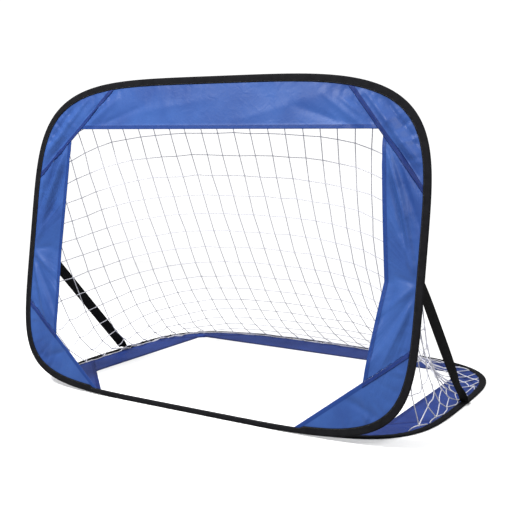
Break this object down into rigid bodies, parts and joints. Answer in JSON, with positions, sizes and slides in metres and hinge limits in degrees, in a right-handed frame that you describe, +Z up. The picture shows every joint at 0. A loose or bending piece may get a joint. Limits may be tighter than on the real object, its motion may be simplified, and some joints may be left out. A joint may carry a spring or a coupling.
{
  "type": "pop-up hockey goal",
  "caption": "Pop-up hockey goal: spring-steel hoops in black sleeves with blue fabric rims, hinged at the goal line, with a white knotted net behind and black side straps.",
  "frame": {"origin": "middle of the goal line, on the underside of the floor hoop's sleeve, which rests on the floor", "axes": "+X to the right seen from in front of the mouth, along the goal's width; +Y into the goal, from the mouth to the rear; +Z up"},
  "size_m": [1.1996, 0.8915, 0.8539],
  "materials": {
    "sleeve_tape": "black woven polyester tape, matt, folded over the edge of the hoop",
    "panel_cloth": "mid-blue woven nylon, slight satin sheen, with a turned hem on its free edge",
    "seam_cloth": "doubled blue nylon along the corner seams",
    "net_cord": "white knotted polyester cord",
    "strap_webbing": "black woven webbing, matt",
    "spring_steel": "flat tempered spring steel",
    "ferrule_metal": "crimped tube"
  },
  "bodies": {
    "base": {"base_goal_line_left_corner": "panel_cloth", "base_goal_line_left_seam_tape": "seam_cloth", "base_goal_line_right_corner": "panel_cloth", "base_goal_line_right_seam_tape": "seam_cloth", "base_left_band": "panel_cloth", "base_rear_band": "panel_cloth", "base_rear_left_corner": "panel_cloth", "base_rear_left_seam_tape": "seam_cloth", "base_rear_right_corner": "panel_cloth", "base_rear_right_seam_tape": "seam_cloth", "base_right_band": "panel_cloth", "base_sleeve": "sleeve_tape", "base_spring_wire": "spring_steel", "base_wire_ferrule": "ferrule_metal", "net": "net_cord", "strap_left": "strap_webbing", "strap_right": "strap_webbing"},
    "front": {"front_bottom_left_corner": "panel_cloth", "front_bottom_left_seam_tape": "seam_cloth", "front_bottom_right_corner": "panel_cloth", "front_bottom_right_seam_tape": "seam_cloth", "front_left_band": "panel_cloth", "front_right_band": "panel_cloth", "front_sleeve": "sleeve_tape", "front_spring_wire": "spring_steel", "front_top_band": "panel_cloth", "front_top_left_corner": "panel_cloth", "front_top_left_seam_tape": "seam_cloth", "front_top_right_corner": "panel_cloth", "front_top_right_seam_tape": "seam_cloth", "front_wire_ferrule": "ferrule_metal"}
  },
  "joints": [
    {"name": "front_fold", "type": "hinge", "parent": "base", "child": "front", "pos_m": [0, -0.0096, 0.009], "axis": [-1, 0, 0], "range_deg": [0, 80], "stiffness_Nm_per_rad": 2.5, "springref_deg": -28.65, "deforming": ["net", "strap_left", "strap_right"]}
  ]
}
